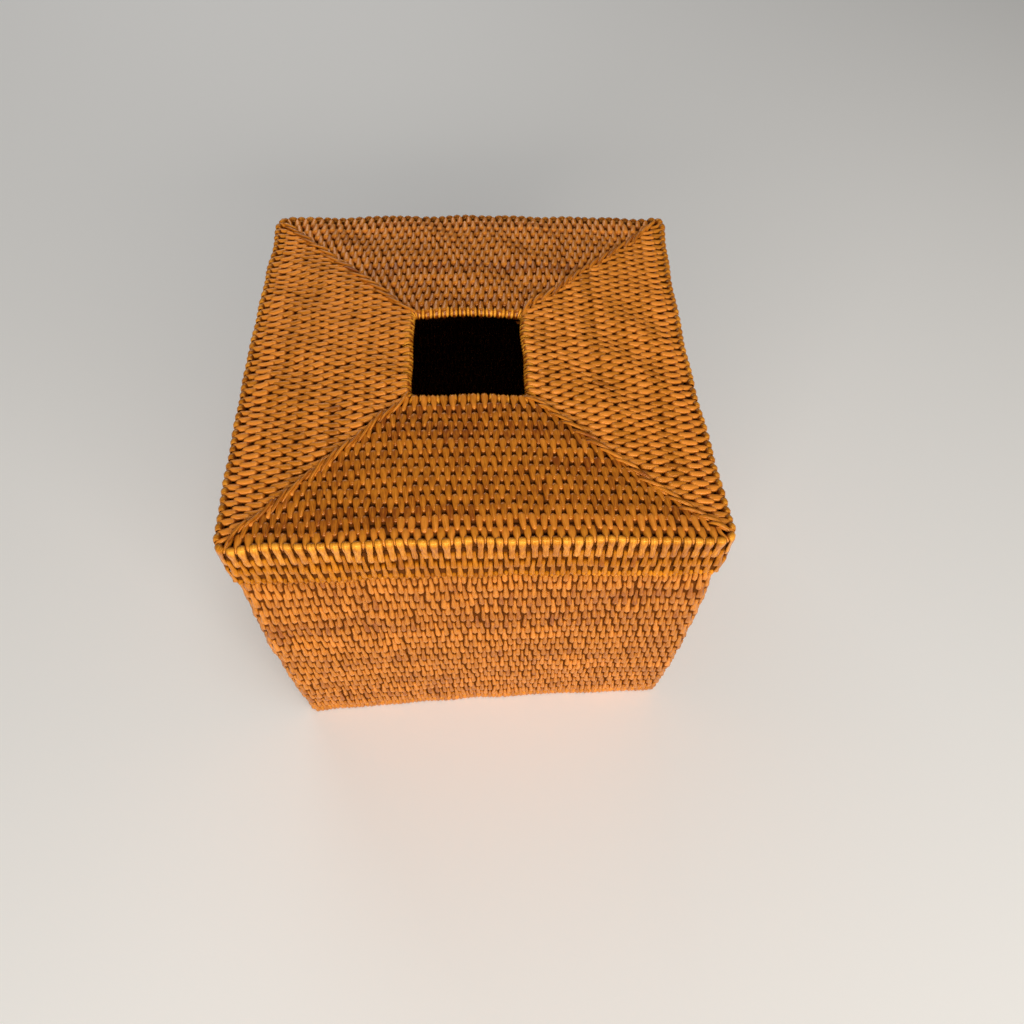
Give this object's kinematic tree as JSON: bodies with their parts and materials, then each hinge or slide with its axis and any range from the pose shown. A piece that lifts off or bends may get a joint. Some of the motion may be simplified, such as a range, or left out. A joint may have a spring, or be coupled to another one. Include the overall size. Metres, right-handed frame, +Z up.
{
  "type": "tissue box cover",
  "caption": "Square box of coiled rattan that hides a cube carton of tissues, with a lift-off lid that has a small square opening in its top.",
  "frame": {"origin": "centre of the footprint, on the surface the box stands on", "axes": "+Z up out of the tissue opening; the four walls face +X, -X, +Y and -Y"},
  "size_m": [0.1578, 0.1578, 0.1384],
  "materials": {
    "lid_binding": "varnished split rattan, satin",
    "rim_binding": "varnished split rattan, satin",
    "wall_binding": "varnished split rattan, satin",
    "inner_binding": "split rattan, thinner varnish, dull"
  },
  "bodies": {
    "body": {"collar_course_01": "inner_binding", "collar_course_02": "inner_binding", "collar_course_03": "inner_binding", "collar_course_04": "inner_binding", "wall_course_01": "wall_binding", "wall_course_02": "wall_binding", "wall_course_03": "wall_binding", "wall_course_04": "wall_binding", "wall_course_05": "wall_binding", "wall_course_06": "wall_binding", "wall_course_07": "wall_binding", "wall_course_08": "wall_binding", "wall_course_09": "wall_binding", "wall_course_10": "wall_binding", "wall_course_11": "wall_binding", "wall_course_12": "wall_binding", "wall_course_13": "wall_binding", "wall_course_14": "wall_binding", "wall_course_15": "wall_binding", "wall_course_16": "wall_binding", "wall_course_17": "wall_binding", "wall_course_18": "wall_binding", "wall_course_19": "wall_binding", "wall_course_20": "wall_binding", "wall_course_21": "wall_binding", "base_course_01": "inner_binding", "base_course_02": "inner_binding", "base_course_03": "inner_binding", "base_course_04": "inner_binding", "base_course_05": "inner_binding", "base_course_06": "inner_binding", "base_course_07": "inner_binding", "base_course_08": "inner_binding", "base_course_09": "inner_binding", "base_course_10": "inner_binding", "base_course_11": "inner_binding", "base_course_12": "inner_binding", "base_centre": "inner_binding"},
    "lid": {"lid_opening_rim": "rim_binding", "lid_top_course_01": "lid_binding", "lid_top_course_02": "lid_binding", "lid_top_course_03": "lid_binding", "lid_top_course_04": "lid_binding", "lid_top_course_05": "lid_binding", "lid_top_course_06": "lid_binding", "lid_top_course_07": "lid_binding", "lid_top_course_08": "lid_binding", "lid_top_course_09": "lid_binding", "lid_top_course_10": "lid_binding", "lid_top_course_11": "lid_binding", "lid_top_course_12": "lid_binding", "lid_top_course_13": "lid_binding", "lid_top_course_14": "lid_binding", "lid_edge_course": "rim_binding", "lid_skirt_course_01": "lid_binding", "lid_skirt_course_02": "lid_binding", "lid_bottom_rim": "rim_binding"}
  },
  "joints": [
    {"name": "lid_lift", "type": "slide", "parent": "body", "child": "lid", "axis": [0, 0, 1], "range_m": [0, 0.08]}
  ]
}
